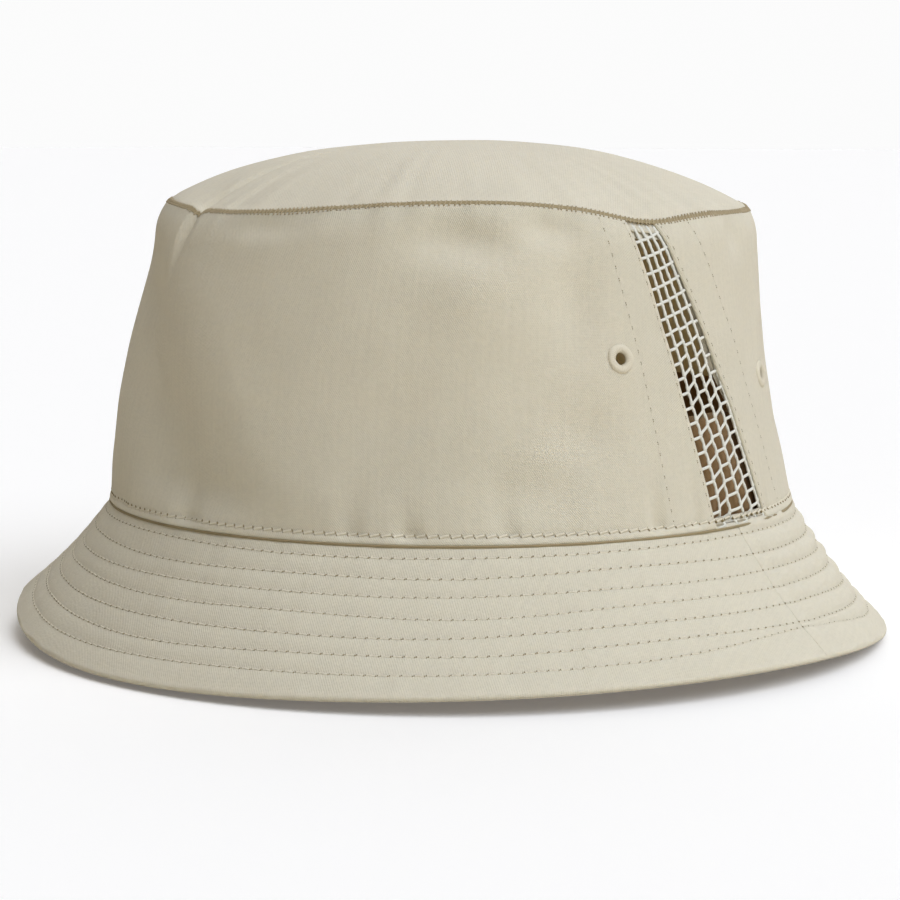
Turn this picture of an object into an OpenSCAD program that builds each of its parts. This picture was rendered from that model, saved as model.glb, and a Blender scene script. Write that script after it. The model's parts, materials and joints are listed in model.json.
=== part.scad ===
// Soft bucket hat: a domed tip, a front and a back wall panel with a slanted net
// vent let in at each side, four sewn eyelets, a taped tip seam, a sweatband with
// labels and a stitched brim of three layers in a front and a back half.
// The rim stands on z = 0, +Z is up, the face of the wearer is towards -Y and the
// wearer's left is +X.

/* [Crown] */
// Radius of the crown's outer face at the brim seam
base_r = 94.9; // [86:0.1:104]
// Radius of the crown's outer face at the tip seam
tip_r = 81.6; // [76:0.1:86]
// Height of the wall between the brim seam and the tip seam
wall_h = 80.9; // [74:0.1:90]
// Outward bulge of the wall at half its height
wall_bulge = 1.2; // [0.4:0.1:2]
// Rise of the dome above the tip seam
dome_h = 18.2; // [12:0.1:24]
// Roundness of the dome: a larger value is flatter in the middle
dome_power = 2.55; // [2:0.05:3.5]

/* [Brim] */
// Horizontal reach of the brim beyond the crown
brim_w = 26.9; // [24:0.1:32]
// Height of the brim seam above the rim
brim_drop = 36.5; // [33:0.1:40]
// Slope of the brim under its seam, from the horizontal
brim_steep = 61.4; // [58:0.2:64]
// Slope of the brim at its rim, from the horizontal
brim_flare = 42; // [38:0.2:46]
// Number of stitch rows round the brim
stitch_rows = 7; // [5:1:9]

/* [Side vents] */
// Front edge of the vent at the brim seam, behind the hat's middle
vent_front_low = -9.9; // [-14:0.1:-6]
// Front edge of the vent at the tip seam
vent_front_high = -27; // [-32:0.1:-24]
// Back edge of the vent at the brim seam
vent_back_low = 12.5; // [9:0.1:16]
// Back edge of the vent at the tip seam
vent_back_high = -18.4; // [-21:0.1:-14]
// Width of the tape sewn behind each edge of the vent
tape_w = 12; // [9:0.5:13]

/* [Eyelets] */
// Outer diameter of the embroidered ring
eyelet_d = 7.6; // [6.5:0.1:8.5]
// Diameter of the air hole
eyelet_hole_d = 3; // [2:0.1:3.6]
// Angle of the front eyelets from the front middle
eyelet_front_angle = 67.6; // [60:0.1:68]
// Angle of the back eyelets from the front middle
eyelet_back_angle = 111; // [111:0.1:120]

/* [Fabric] */
// Thickness of the outer twill
fabric_t = 0.8; // [0.5:0.1:1]
// Thickness of the interlining and of each hidden tape
lining_t = 0.6; // [0.4:0.1:0.8]
// Diameter of the sewing thread
thread_d = 0.5; // [0.3:0.05:0.7]

/* [Sweatband and labels] */
// Height of the sweatband
band_h = 30; // [25:0.5:36]
// Thickness of the folded sweatband
band_t = 1.1; // [0.8:0.1:1.4]
// Width and height of the blank label sewn flat at the back
main_label = [42, 20]; // [10:1:50]
// Width and length of the blank care label that hangs from its top edge
care_label = [26, 28]; // [20:1:30]
// Angle of the care label from the front middle
care_label_angle = 150; // [140:1:155]

/* [Hidden] */

$fn = 96;
LEFT = 1;
RIGHT = -1;
FRONT = -1;
BACK = 1;
FAR = 300;
WALL_STEPS = 6;
DOME_STEPS = 9;
BRIM_STEPS = 8;
EDGE_STEPS = 8;

twill = "#d7d0bc";
twill_under = "#cfc6ae";
net_white = "#e1e2d8";
thread_tan = "#c9bd9c";
band_brown = "#8c6f4e";
label_white = "#eeeae0";

// Seam allowances: how far each piece runs behind its neighbour
brim_allowance = 3;
tip_allowance = 2.5;
tip_tape_h = 4.5;
net_tuck = 4;
// Air between two layers of cloth that lie on each other
layer_gap = 0.1;
// Depths of the layers behind the wall's outer face
tip_z = brim_drop + wall_h;
brim_t = 2 * fabric_t + lining_t;
net_depth = fabric_t + layer_gap;
tape_depth = net_depth + lining_t + layer_gap;
tip_tape_depth = 2 * fabric_t + 4 * layer_gap;
band_depth = fabric_t + layer_gap + brim_t + layer_gap;
label_depth = band_depth + band_t + layer_gap;
// The hidden pieces behind a vent stop at the brim's allowance and the tip's tape
vent_low = (brim_allowance + layer_gap) / wall_h;
vent_high = 1 - (tip_tape_h + layer_gap) / wall_h;
// Heights of the eyelets as shares of the wall's height
eyelet_front_s = 0.56;
eyelet_back_s = 0.44;
eyelet_rim_t = 0.7;
// The stitch rows share out the brim between its seam and its rim
row_pitch = 1 / (stitch_rows + 0.6);
base_row_h = 2.2;
tip_row_h = 1.6;
vent_row_gap = 1.2;
// Hinge line of the care label, under the sweatband's lower edge
flap_t = 0.4;
flap_r = base_r - band_depth - band_t - 0.6;
flap_z = brim_drop - 1.2;

// ---- Profiles -------------------------------------------------------------

// Outer radius of the wall at share s of its height
function wall_r(s) = base_r + (tip_r - base_r) * s + wall_bulge * sin(180 * s);

// Point of the wall profile at share s, moved inwards by depth
function wall_point(s, depth) = [wall_r(s) - depth, brim_drop + wall_h * s];

// Closed outline of a layer of the wall between shares s0 and s1
function wall_layer(s0, s1, depth, t) = concat(
    [for (i = [0:WALL_STEPS]) wall_point(s0 + (s1 - s0) * i / WALL_STEPS, depth)],
    [for (i = [WALL_STEPS:-1:0]) wall_point(s0 + (s1 - s0) * i / WALL_STEPS, depth + t)]
);

// Height of the dome's outer face at radius r
function dome_z(r) = tip_z + dome_h * (1 - pow(r / tip_r, dome_power));

// The brim's curve from its seam to its rim, bent where its two end slopes meet
brim_start = [base_r - fabric_t - layer_gap, brim_drop];
brim_end = [base_r + brim_w, 0];
brim_run = brim_end[0] - brim_start[0];
brim_bend_x = (brim_drop - brim_run * tan(brim_flare)) / (tan(brim_steep) - tan(brim_flare));
brim_bend = brim_start + [brim_bend_x, -brim_bend_x * tan(brim_steep)];

// Point of the brim's upper face: u is 0 at the seam and 1 at the rim
function brim_point(u) =
    (1 - u) * (1 - u) * brim_start + 2 * u * (1 - u) * brim_bend + u * u * brim_end;

// Upper face of the brim with its allowance behind the wall, run on past the rim
brim_path = concat(
    [wall_point(brim_allowance / wall_h, fabric_t + layer_gap)],
    [for (i = [0:BRIM_STEPS]) brim_point(i / BRIM_STEPS)],
    [brim_end + 6 * [cos(brim_flare), -sin(brim_flare)]]
);

// Unit normal of a step of a path, on the side of the head
function step_normal(p, q) = [q[1] - p[1], p[0] - q[0]] / norm(q - p);

// Point i of a path moved by d towards the head, with a mitre at each corner
function moved_point(path, i, d) =
    let (
        last = len(path) - 1,
        before = step_normal(path[max(i - 1, 0)], path[max(i, 1)]),
        after = step_normal(path[min(i, last - 1)], path[min(i + 1, last)]),
        both = before + after
    )
    path[i] + both * 2 * d / (both * both);

// Closed outline of a layer of the brim, from depth d to depth d + t
function brim_layer(d, t) = concat(
    [for (i = [0:len(brim_path) - 1]) moved_point(brim_path, i, d)],
    [for (i = [len(brim_path) - 1:-1:0]) moved_point(brim_path, i, d + t)]
);

// Ease from 0 to 1, slow at both ends, for the slanted edges of the vents
function ease(s) = let (e = pow(s, 1.3)) e * e * (3 - 2 * e);
function vent_front_y(s) = vent_front_low + (vent_front_high - vent_front_low) * ease(s);
function vent_back_y(s) = vent_back_low + (vent_back_high - vent_back_low) * ease(s);

// Outline, seen from the side, between two curves along the vent's edges
function side_outline(shares, front, back) = concat(
    [for (s = shares) [front(s), brim_drop + wall_h * s]],
    [for (i = [len(shares) - 1:-1:0]) [back(shares[i]), brim_drop + wall_h * shares[i]]]
);
// Shares of the wall's height, a little past both seams
edge_shares = [for (i = [0:EDGE_STEPS]) i / EDGE_STEPS];

// ---- Shared shapes --------------------------------------------------------

// A prism across the hat whose outline is drawn in the side view, on one side only
module side_prism(side, outline) {
    rotate([90, 0, 90])
        translate([0, 0, side == LEFT ? 0 : -FAR])
            linear_extrude(FAR)
                polygon(outline);
}

// Half of a turned shape: the front half or the back half
module half_turn(half) {
    rotate([0, 0, half == FRONT ? 180 : 0])
        rotate_extrude(angle = 180)
            children();
}

// Places its children on the wall's outer face, their +Z along the wall's normal
module on_wall(angle, s) {
    lean = atan((wall_r(s - 0.05) - wall_r(s + 0.05)) / (0.1 * wall_h));
    rotate([0, 0, angle - 90])
        translate([wall_r(s), 0, brim_drop + wall_h * s])
            rotate([0, 90 - lean, 0])
                children();
}

// A full ring of a wall layer
module wall_ring(s0, s1, depth, t) {
    rotate_extrude()
        polygon(wall_layer(s0, s1, depth, t));
}

// A wall layer cut to the strip between two curves beside one vent
module vent_piece(side, s0, s1, depth, t, front, back) {
    intersection() {
        wall_ring(s0, s1, depth, t);
        side_prism(side, side_outline(edge_shares, front, back));
    }
}

// ---- Crown ----------------------------------------------------------------

module crown_tip() {
    radii = [for (i = [0:DOME_STEPS]) tip_r * pow(i / DOME_STEPS, 0.7)];
    lower_r = tip_r - fabric_t - layer_gap;
    allowance_s = 1 - tip_allowance / wall_h;
    color(twill)
        rotate_extrude()
            union() {
                polygon(concat(
                    [for (r = radii) [r, dome_z(r)]],
                    [for (i = [DOME_STEPS:-1:0])
                        [radii[i] * lower_r / tip_r, dome_z(radii[i]) - (i == DOME_STEPS ? 0 : fabric_t)]]
                ));
                // The seam allowance, turned down behind the wall
                polygon([
                    [lower_r - fabric_t, tip_z + 0.5],
                    [lower_r, tip_z + 0.5],
                    [lower_r, tip_z],
                    wall_point(allowance_s, fabric_t + layer_gap),
                    wall_point(allowance_s, 2 * fabric_t + layer_gap),
                    [lower_r - fabric_t, tip_z],
                ]);
            }
}

module wall_panel(half) {
    edge = function (s) half == FRONT ? vent_front_y(s) : vent_back_y(s);
    outer = function (s) half * FAR / 2;
    difference() {
        intersection() {
            wall_ring(0, 1, 0, fabric_t);
            union() {
                for (side = [LEFT, RIGHT])
                    side_prism(side, side_outline(edge_shares, edge, outer));
            }
        }
        for (side = [LEFT, RIGHT])
            eyelet_place(half, side)
                cylinder(h = 12, d = eyelet_hole_d + 1.4, center = true);
    }
}

module front_panel() {
    color(twill)
        wall_panel(FRONT);
}

module back_panel() {
    color(twill)
        wall_panel(BACK);
}

// ---- Side vents -----------------------------------------------------------

module vent_net(side) {
    front = function (s) vent_front_y(s) - net_tuck;
    back = function (s) vent_back_y(s) + net_tuck;
    color(net_white)
        vent_piece(side, vent_low, vent_high, net_depth, lining_t, front, back);
}

module vent_tape(half, side) {
    edge = function (s) half == FRONT ? vent_front_y(s) : vent_back_y(s);
    outer = function (s) edge(s) + half * tape_w;
    color(twill_under)
        vent_piece(side, vent_low, vent_high, tape_depth, lining_t, edge, outer);
}

// Four lines of thread beside a vent: one at each edge and one at each tape's far edge
module vent_stitching(side) {
    rows = [
        [FRONT, vent_row_gap], [FRONT, tape_w - vent_row_gap],
        [BACK, vent_row_gap], [BACK, tape_w - vent_row_gap],
    ];
    color(thread_tan)
        for (row = rows) {
            near = function (s)
                (row[0] == FRONT ? vent_front_y(s) : vent_back_y(s)) + row[0] * row[1];
            far = function (s) near(s) + row[0] * thread_d;
            vent_piece(side, 0.05, 0.97, -thread_d / 2, thread_d, near, far);
        }
}

// ---- Eyelets --------------------------------------------------------------

module eyelet_place(half, side) {
    angle = half == FRONT ? eyelet_front_angle : eyelet_back_angle;
    s = half == FRONT ? eyelet_front_s : eyelet_back_s;
    on_wall(side * angle, s)
        children();
}

// An embroidered ring through the panel: a collar with a rim on each face
module eyelet(half, side) {
    hole_r = eyelet_hole_d / 2;
    collar_r = hole_r + 0.7;
    rim_r = eyelet_d / 2;
    color(twill)
        eyelet_place(half, side)
            rotate_extrude()
                polygon([
                    [hole_r, -fabric_t - 0.5],
                    [rim_r - 0.6, -fabric_t - 0.5],
                    [rim_r - 0.6, -fabric_t],
                    [collar_r, -fabric_t],
                    [collar_r, 0],
                    [rim_r, 0],
                    [rim_r - 0.4, eyelet_rim_t * 0.8],
                    [(rim_r + hole_r) / 2, eyelet_rim_t],
                    [hole_r, eyelet_rim_t * 0.6],
                ]);
}

// ---- Hidden crown pieces --------------------------------------------------

module tip_seam_tape() {
    color(twill_under)
        wall_ring(1 - tip_tape_h / wall_h, 1 - 0.4 / wall_h, tip_tape_depth, lining_t);
}

module sweatband() {
    color(band_brown)
        wall_ring(0, band_h / wall_h, band_depth, band_t);
}

// ---- Brim -----------------------------------------------------------------

// A layer of one half of the brim, cut level at height low
module brim_piece(half, depth, t, low) {
    half_turn(half)
        intersection() {
            polygon(brim_layer(depth, t));
            translate([0, low])
                square(FAR / 2);
        }
}

module brim_top(half) {
    color(twill)
        brim_piece(half, 0, fabric_t, 0);
}

// The interlining stops short of the turned rim
module brim_interlining(half) {
    color(label_white)
        brim_piece(half, fabric_t, lining_t, 3);
}

module brim_under(half) {
    color(twill_under)
        brim_piece(half, fabric_t + lining_t, fabric_t, 0);
}

// Rows of needle thread on the upper face and bobbin thread on the lower face
module brim_stitching(half) {
    color(thread_tan)
        for (row = [1:stitch_rows]) {
            u = row * row_pitch;
            top = brim_point(u);
            across = brim_t * step_normal(brim_point(u - 0.01), brim_point(u + 0.01));
            for (place = [top, top + across])
                half_turn(half)
                    translate(place)
                        circle(d = thread_d, $fn = 24);
        }
}

// ---- Crown stitching ------------------------------------------------------

module thread_ring(s) {
    rotate_extrude()
        translate(wall_point(s, 0))
            circle(d = thread_d, $fn = 24);
}

module crown_base_stitching() {
    color(thread_tan)
        thread_ring(base_row_h / wall_h);
}

module crown_tip_stitching() {
    color(thread_tan)
        thread_ring(1 - tip_row_h / wall_h);
}

// ---- Labels ---------------------------------------------------------------

// A blank patch that follows the sweatband's inner face at the back
module main_label_patch() {
    s0 = (band_h - main_label[1]) / 2 / wall_h;
    half_w = main_label[0] / 2;
    color(label_white)
        intersection() {
            wall_ring(s0, s0 + main_label[1] / wall_h, label_depth, 0.5);
            translate([-half_w, 0, 0])
                cube([main_label[0], FAR, FAR]);
        }
}

// A blank flap that hangs from a rolled and sewn upper edge, free to swing
module care_label_flap() {
    color(label_white)
        rotate([0, 0, care_label_angle - 90])
            translate([flap_r, 0, flap_z]) {
                rotate([90, 0, 0])
                    cylinder(h = care_label[0], d = 2 * flap_t, center = true, $fn = 24);
                translate([-flap_t / 2, -care_label[0] / 2, -care_label[1]])
                    cube([flap_t, care_label[0], care_label[1]]);
            }
}

crown_tip();
front_panel();
back_panel();
vent_net(LEFT);  // vent_net_left
vent_net(RIGHT);  // vent_net_right
vent_tape(FRONT, LEFT);  // vent_tape_front_left
vent_tape(BACK, LEFT);  // vent_tape_back_left
vent_tape(FRONT, RIGHT);  // vent_tape_front_right
vent_tape(BACK, RIGHT);  // vent_tape_back_right
tip_seam_tape();
sweatband();
eyelet(FRONT, LEFT);  // eyelet_front_left
eyelet(BACK, LEFT);  // eyelet_back_left
eyelet(FRONT, RIGHT);  // eyelet_front_right
eyelet(BACK, RIGHT);  // eyelet_back_right
brim_top(FRONT);  // brim_top_front
brim_top(BACK);  // brim_top_back
brim_interlining(FRONT);  // brim_interlining_front
brim_interlining(BACK);  // brim_interlining_back
brim_under(FRONT);  // brim_under_front
brim_under(BACK);  // brim_under_back
crown_base_stitching();
crown_tip_stitching();
vent_stitching(LEFT);  // vent_stitching_left
vent_stitching(RIGHT);  // vent_stitching_right
brim_stitching(FRONT);  // brim_stitching_front
brim_stitching(BACK);  // brim_stitching_back
main_label_patch();
care_label_flap();
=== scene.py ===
import json
import math

import bpy
import numpy as np
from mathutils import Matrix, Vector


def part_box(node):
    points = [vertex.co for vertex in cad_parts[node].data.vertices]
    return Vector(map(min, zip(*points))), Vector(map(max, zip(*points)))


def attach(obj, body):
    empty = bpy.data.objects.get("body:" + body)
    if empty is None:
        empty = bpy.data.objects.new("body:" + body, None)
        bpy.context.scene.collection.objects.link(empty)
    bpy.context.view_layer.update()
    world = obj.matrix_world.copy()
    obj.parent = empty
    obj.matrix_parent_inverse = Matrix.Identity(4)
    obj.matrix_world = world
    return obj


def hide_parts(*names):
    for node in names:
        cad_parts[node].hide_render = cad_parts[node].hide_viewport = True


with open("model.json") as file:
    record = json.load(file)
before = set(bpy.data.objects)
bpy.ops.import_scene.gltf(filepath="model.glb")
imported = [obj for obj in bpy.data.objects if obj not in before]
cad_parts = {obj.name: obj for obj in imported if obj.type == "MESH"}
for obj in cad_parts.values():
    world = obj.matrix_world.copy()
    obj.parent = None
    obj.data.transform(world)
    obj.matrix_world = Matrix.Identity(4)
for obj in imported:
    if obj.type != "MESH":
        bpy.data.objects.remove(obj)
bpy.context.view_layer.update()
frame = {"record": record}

# ---------------------------------------------------------------------------
# Driving sizes, in millimetres. What the frame can tell is read from it.
# ---------------------------------------------------------------------------
MM = 0.001
PI = math.pi


def corner(node, end):
    """A CAD node's lowest (0) or highest (1) corner, in millimetres."""
    return np.array(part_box(node)[end]) / MM


BASE_Z = corner("front_panel", 0)[2]
TIP_Z = corner("front_panel", 1)[2]
WALL_H = TIP_Z - BASE_Z
BASE_R = -corner("front_panel", 0)[1]
RIM_R = corner("brim_top_front", 1)[0]
DOME_H = corner("crown_tip", 1)[2] - TIP_Z
BAND_H = corner("sweatband", 1)[2] - corner("sweatband", 0)[2]
# Radius at the tip seam, and the wall's middling radius, as shares of the radius at its base
TIP_SHARE = 0.86
ARC_SHARE = 0.93
SIDE_STRETCH = 1.01
FRONT_STRETCH = 0.99
DOME_POWER = 2.55
# How far the middle of the tip has shifted towards the left and the back
TIP_SHIFT = (1.9, 1.3)
# The wall's profile: how far it bulges, and draws in under the tip seam
BELLY = 1.15
DRAW_IN = 2.0

CLOTH_T = 0.55
TAPE_T = 0.4
BRIM_HALF_T = 0.95
BRIM_REACH = RIM_R - BASE_R - BRIM_HALF_T
BRIM_MID_R = BASE_R + 15
BRIM_HOLLOW = 6.1
BRIM_INSET = 1.9
# Depth of the cloth that is turned in behind the wall at both seams
TUCK_DEPTH = CLOTH_T + 0.15
BASE_TUCK = 3.0
TIP_TUCK = 2.5

# Waves round the hat: how many, how high in mm, and turned by how many degrees
TIP_WAVES = [(1, 0.31, 75), (3, 0.55, 91), (4, 1.14, 166)]
RIM_WAVES = [(1, 1.05, -48), (2, 0.9, -163), (3, 2.7, -174), (4, 1.2, 52)]
REACH_WAVES = [(1, 0.4, 66), (2, 0.45, 86)]
RIM_LIFT = 4.5
# Angles of the small notch in the tip seam and of the brim's left side seam
NOTCH_DEG = -21.5
LEFT_SEAM_DEG = 88

# Stitch rows of the brim, as shares of the way from the seam to the rim
BRIM_ROWS = [0.105, 0.23, 0.35, 0.475, 0.605, 0.735, 0.86]
STITCH = 2.9
TIP_STITCH = 1.25
HEM_ROW = 2.45
# Thread radii
BRIM_THREAD, BASE_THREAD, VENT_THREAD, TIP_THREAD = 0.31, 0.42, 0.24, 0.23

# Inside: the sweatband, the patch sewn on it, and the care label's width and step under the band
BAND_LOW, BAND_DEPTH, BAND_T = 0.3, 2.7, 0.9
PATCH_DEPTH, PATCH_T = 4.15, 0.45
RIBBON_W, RIBBON_T, RIBBON_STEP = 26.0, 0.3, 1.25


# ---------------------------------------------------------------------------
# Small helpers
# ---------------------------------------------------------------------------
def unit(v):
    return v / np.maximum(np.linalg.norm(v, axis=-1, keepdims=True), 1e-9)


def bell(x, width):
    return np.exp(-((x / width) ** 2))


def smooth(x):
    x = np.clip(x, 0, 1)
    return x * x * (3 - 2 * x)


def waves(t, table):
    return sum(h * np.cos(n * t - math.radians(turn)) for n, h, turn in table)


def ripple(p, wavelength, seed, count=9, stretch=(1, 1, 1)):
    """Soft random waves through space, about -1 to 1, the same on every run."""
    rng = np.random.default_rng(seed)
    total = 0
    for _ in range(count):
        way = unit(rng.normal(size=3)) * np.array(stretch)
        length = wavelength * rng.uniform(0.75, 1.5)
        total = total + np.sin(p @ way * 2 * PI / length + rng.uniform(0, 2 * PI))
    return total / math.sqrt(count)


def stack(*parts):
    return np.stack(np.broadcast_arrays(*parts), axis=-1)


# ---------------------------------------------------------------------------
# The shape of the hat. t is the angle from the front middle towards the
# wearer's left; s is 0 at the brim seam and 1 at the tip seam or the rim.
# ---------------------------------------------------------------------------
def around(t, radius):
    return stack(SIDE_STRETCH * radius * np.sin(t), -FRONT_STRETCH * radius * np.cos(t), 0 * t)


def mm_from(t, degrees):
    """Distance along the wall from an angle, in mm."""
    return wrap(t - np.radians(degrees)) * BASE_R * ARC_SHARE


def tip_height(t):
    """Height of the tip seam, which dips at a notch, over the vents and at the left of the back."""
    notch = 1.7 * bell(mm_from(t, NOTCH_DEG), 4.0)
    vents = 2.6 * bell(np.abs(np.degrees(wrap(t))) - 75, 11)
    slack = 2.6 * bell(np.degrees(wrap(t)) - 124, 24)
    return WALL_H + 1.3 + waves(t, TIP_WAVES) - notch - vents - slack


def wrap(t):
    return (t + PI) % (2 * PI) - PI


def wall_radius(s):
    belly = BELLY * np.sin(PI * np.clip(s, 0, 1) ** 1.2)
    drawn_in = DRAW_IN * np.clip((s - 0.90) / 0.10, 0, 2) ** 2
    return BASE_R * (1 + (TIP_SHARE - 1) * s) + belly - drawn_in


DOME_R = BASE_R * TIP_SHARE - DRAW_IN

# Soft dents of the crown: angle, share of height, half-widths in mm, and how deep against the others
DENT_DEPTH = 2.3
DENTS = [
    (37, 0.90, 11, 6, 1.3),
    (44, 0.87, 8, 5, 0.6),
    (55, 0.93, 8, 4, 1.0),
    (60, 0.71, 7, 12, 0.8),
    (44, 0.72, 13, 12, -0.7),
    (61, 0.31, 9, 8, 0.6),
    (52, 0.16, 12, 6, 0.5),
    (30, 0.30, 14, 20, 0.5),
    (2, 0.95, 12, 3, 0.5),
    (-22, 0.95, 2.6, 7, 0.9),
    (101, 0.93, 5, 5, 0.8),
    (104, 0.62, 7, 16, 0.5),
    (128, 0.55, 20, 26, 0.9),
    (165, 0.80, 26, 13, 1.1),
    (205, 0.45, 24, 28, 0.8),
    (250, 0.75, 18, 18, 1.0),
    (300, 0.55, 20, 24, 0.9),
]


def big_fold(t, s):
    """The soft slanted ridge of the front panel, and the hollow on its right-hand side."""
    ridge = mm_from(t, 44 * (0.81 - s) - 17)
    inside = smooth(s / 0.16) * smooth((0.98 - s) / 0.3)
    return (0.6 * bell(ridge - 2, 16) - 4.4 * bell(ridge + 33, 20)) * inside


def wall_relief(t, s):
    """How far the cloth of the wall stands out from its plain shape."""
    place = around(t, BASE_R) + stack(0 * t, 0 * t, s * WALL_H)
    h = s * WALL_H
    out = 0.30 * ripple(place, 52, 3) + 0.10 * ripple(place, 19, 4) + big_fold(t, s)
    for angle, share, wide, high, depth in DENTS:
        dent = bell(mm_from(t, angle), wide) * bell(h - share * WALL_H, high)
        out = out - DENT_DEPTH * depth * dent
    above_hem = np.exp(-np.clip(h - 3, 0, None) / 6) * smooth(h / 3)
    below_tip = np.exp(-np.clip(WALL_H - h, 0, None) / 6)
    gathers = ripple(place, 9, 6, stretch=(1, 1, 0.12))
    out = out - above_hem * 1.25 * np.clip(gathers, 0, None) ** 1.5
    out = out + below_tip * 0.24 * ripple(place, 8, 5, stretch=(1, 1, 0.2))
    out = out * (1 - 0.8 * bell(h, 1.5))
    hem = 0.42 * bell(h - 1.0, 1.0) - 0.30 * bell(h - HEM_ROW, 0.6)
    return out + hem


def wall(t, s, depth=0):
    """Outer face of the crown's wall, moved inwards by depth."""
    lean = math.atan2(BASE_R * (1 - TIP_SHARE), WALL_H)
    to_left = TIP_SHIFT[0] * s - 5.2 * s * (1 - s)
    to_back = TIP_SHIFT[1] * s - 7.2 * s * (1 - s)
    sway = stack(to_left, to_back, tip_height(t) * s)
    flat = around(t, wall_radius(s)) + sway + np.array([0, 0, BASE_Z])
    face = stack(np.sin(t) * math.cos(lean), -np.cos(t) * math.cos(lean), math.sin(lean) + 0 * t)
    return flat + face * (wall_relief(t, s) - depth)[..., None]


def dome(t, k):
    """Outer face of the tip: k is 0 in the middle and 1 at the tip seam."""
    sink = 0.6
    middle = np.array([*TIP_SHIFT, BASE_Z + WALL_H - sink])
    p = middle + (wall(t, 1 + 0 * t) - middle) * stack(k, k, k ** 3)
    p[..., 2] += (DOME_H + sink) * (1 - k ** DOME_POWER)
    inwards = (1 - k) * DOME_R
    lift = 0.45 * ripple(p, 60, 11) + 0.12 * ripple(p, 24, 12)
    drawn = np.exp(-inwards / 11) * ripple(stack(t * DOME_R, inwards * 0.5, 0 * t), 13, 13)
    line = np.radians(-22 - 60 * np.clip(0.95 - k, 0, 1))
    beside = wrap(t - line) * DOME_R * k
    crease = bell(beside, np.where(beside < 0, 17, 3.6)) * bell(inwards - 2, 13)
    p[..., 2] += (lift + 0.35 * drawn - crease) * smooth(inwards / 4)
    return p


def rim_height(t):
    """Height of the middle of the rim's edge, which rests on the floor where it is lowest."""
    lowest, softness = BRIM_HALF_T + 0.15, 0.5
    lift = RIM_LIFT - lowest + waves(t, RIM_WAVES)
    return lowest + np.logaddexp(0, lift / softness) * softness


def brim_middle(t, s):
    """Middle of the brim's thickness."""
    reach = (BRIM_REACH + waves(t, REACH_WAVES)) * s
    reach = reach - BRIM_HOLLOW * s * (1 - s) - BRIM_INSET * (1 - s) ** 2
    flat = around(t, BASE_R + 0 * s)
    out = stack(np.sin(t), -np.cos(t), 0 * t)
    fall = (BASE_Z - rim_height(t) + 4.06 * (1 - s)) * s
    p = flat + out * reach[..., None]
    p[..., 2] += BASE_Z + 1.0 * (1 - s) - fall
    p[..., 2] += 1.2 * s * (1 - s) * ripple(p * np.array([1, 1, 0]), 60, 21)
    return p


def brim_length():
    s = np.linspace(0, 1, 60)
    line = brim_middle(0 * s + 1.0, s)
    return np.linalg.norm(np.diff(line, axis=0), axis=1).sum()


BRIM_L = brim_length()


def row_share(k, t):
    """Where stitch row k runs: not quite parallel, and the last joins its neighbour at the left seam."""
    wobble = 0.006 * np.sin(3 * t + 1.7 * k) + 0.004 * np.sin(7 * t + 2.9 * k)
    last = k == len(BRIM_ROWS) - 1
    pull = bell(np.degrees(wrap(t - math.radians(LEFT_SEAM_DEG))), 17) if last else 0
    return BRIM_ROWS[k] + wobble - 0.085 * pull


def brim_relief(t, s):
    """Quilting of the brim: a groove along each row and a little swell between, stronger behind."""
    back = smooth((np.abs(wrap(t)) - PI / 2) / 0.05)
    arc = t * BRIM_MID_R
    out = 0
    rows = [row_share(k, t) for k in range(len(BRIM_ROWS))]
    for k, row in enumerate(rows):
        d = (s - row) * BRIM_L
        pull = 0.05 * np.cos(2 * PI * t * stitches_in(k) / PI)
        out = out - (0.13 + 0.24 * back + pull) * bell(d, 0.85)
    edges = [0 * t, *rows, 0 * t + 1]
    for low, high in zip(edges[:-1], edges[1:]):
        x = np.clip((s - low) / (high - low), 0, 1)
        out = out + (0.10 + 0.30 * back) * np.sin(PI * x) ** 2
    place = stack(arc, s * BRIM_L, 0 * arc)
    pleats = ripple(place, 9, 31, stretch=(1, 0.25, 1)) * 0.05 + 0.04 * ripple(place, 17, 32)
    creases = ripple(place, 15, 33, stretch=(1, 0.12, 1)) * bell(np.degrees(wrap(t)) + 38, 26)
    return out + pleats * (1 + 2.2 * back) + 0.28 * creases * smooth(s / 0.2)


def stitches_in(k):
    """Stitches of one half of brim row k."""
    radius = BASE_R + BRIM_REACH * BRIM_ROWS[k]
    return int(PI * radius / STITCH)


def face_of(surface, t, s, step=1e-3):
    """Place, outward normal and the two unit directions of a surface at (t, s)."""
    p = surface(t, s)
    du = surface(t + step, s) - surface(t - step, s)
    dv = surface(t, s + step) - surface(t, s - step)
    return p, unit(np.cross(du, dv)), unit(du), unit(dv)


def brim_top(t, s):
    p, n, _, _ = face_of(brim_middle, t, s)
    return p - n * (BRIM_HALF_T + brim_relief(t, s))[..., None]


def brim_under(t, s):
    p, n, _, _ = face_of(brim_middle, t, s)
    return p + n * (BRIM_HALF_T + brim_relief(t, s))[..., None]


# Slanted vents: the angles of their front and back edges on the left side
def vent_front(s):
    return np.radians(84.4 - 4.4 * s - 10.0 * s ** 2)


def vent_back(s):
    return np.radians(100.1 - 16.4 * s - 7.2 * s ** 2)


# Each eyelet's angle and share of height, then their hole's radius in the cloth and their ring
EYELETS = {
    "front": (67.6, 0.56),
    "back": (109.6, 0.46),
}
EYELET_HOLE_R = 2.6
EYELET_RING_R, EYELET_RING_HALF, EYELET_WRAPS = 2.62, 1.08, 34


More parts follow.
